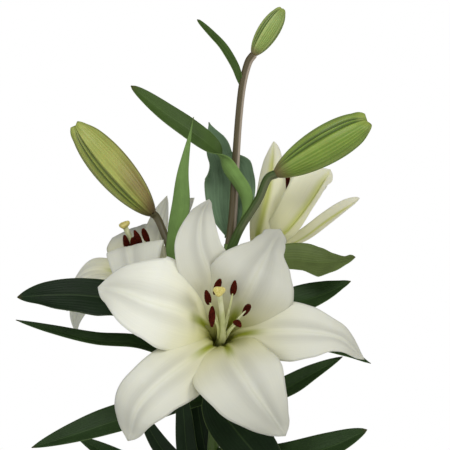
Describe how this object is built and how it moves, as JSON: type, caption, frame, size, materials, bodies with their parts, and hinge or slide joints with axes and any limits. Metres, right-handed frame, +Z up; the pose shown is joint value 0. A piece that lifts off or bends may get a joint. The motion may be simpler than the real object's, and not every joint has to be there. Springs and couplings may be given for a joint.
{
  "type": "lilies in a vase",
  "caption": "Cut stem of white lilies with open blooms, closed buds and narrow dark leaves, standing in water in a tall clear glass vase with a narrow neck.",
  "frame": {"origin": "middle of the vase's flat foot, on the surface that it stands on", "axes": "+Z up along the vase and the stem, the open front bloom faces -Y"},
  "size_m": [0.2466, 0.1904, 0.5719],
  "materials": {
    "vase_glass": "clear, smooth",
    "water": "clear water",
    "stem_and_leaf": "waxy dark green leaf with lengthwise veins",
    "white_petal": "soft white with a green-yellow throat",
    "half_open_petal": "creamy white with green midribs",
    "stamen": "pale filaments with dark red-brown powdery anthers",
    "bud": "waxy yellow-green with darker grooves"
  },
  "bodies": {
    "root": {"vase": "vase_glass", "water": "water", "leafy_stem": "stem_and_leaf", "front_bloom_petals": "white_petal", "front_bloom_stamens": "stamen", "left_bloom_petals": "white_petal", "left_bloom_stamens": "stamen", "right_bloom_petals": "half_open_petal", "right_bloom_stamens": "stamen", "right_bud": "bud", "left_bud": "bud", "top_bud": "bud"}
  },
  "joints": []
}
